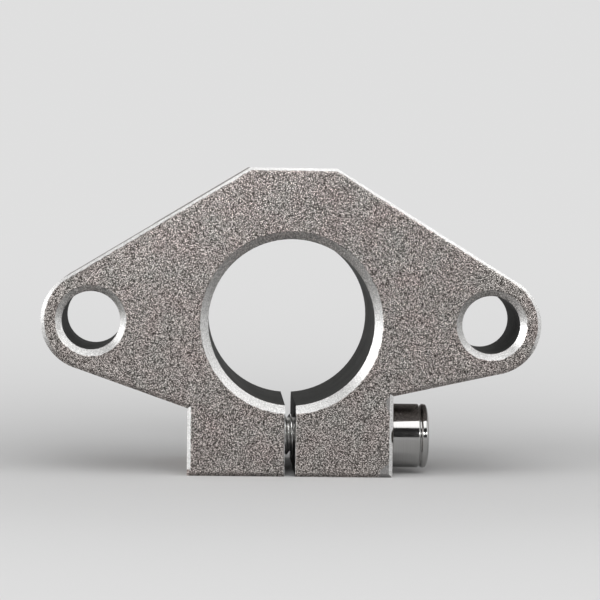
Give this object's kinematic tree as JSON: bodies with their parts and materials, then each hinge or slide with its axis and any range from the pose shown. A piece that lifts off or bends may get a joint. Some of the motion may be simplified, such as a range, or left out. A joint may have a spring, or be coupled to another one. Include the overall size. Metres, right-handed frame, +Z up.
{
  "type": "shaft support block",
  "caption": "Flange-mounted clamp support for a round linear shaft, with bolt ears either side of a split bore and a socket head clamp screw across its foot.",
  "frame": {"origin": "in the middle of the shaft bore, on its axis, which is also the middle of the whole block", "axes": "+Y along the shaft, from the mounting face towards the clamp boss; +Z up, away from the slit and the foot; +X along the line of the mounting holes, to the side of the screw's head"},
  "size_m": [0.06, 0.02, 0.037],
  "materials": {
    "block_aluminium": "blasted faces with bright machined chamfers",
    "screw_steel": "bright nickel plating"
  },
  "bodies": {
    "block": {"support_block": "block_aluminium"},
    "screw": {"clamp_screw": "screw_steel"}
  },
  "joints": [
    {"name": "clamp_screw_turn", "type": "hinge", "parent": "block", "child": "screw", "pos_m": [0.01235, -0.004, -0.014], "axis": [1, 0, 0], "range_deg": [0, 630]}
  ]
}
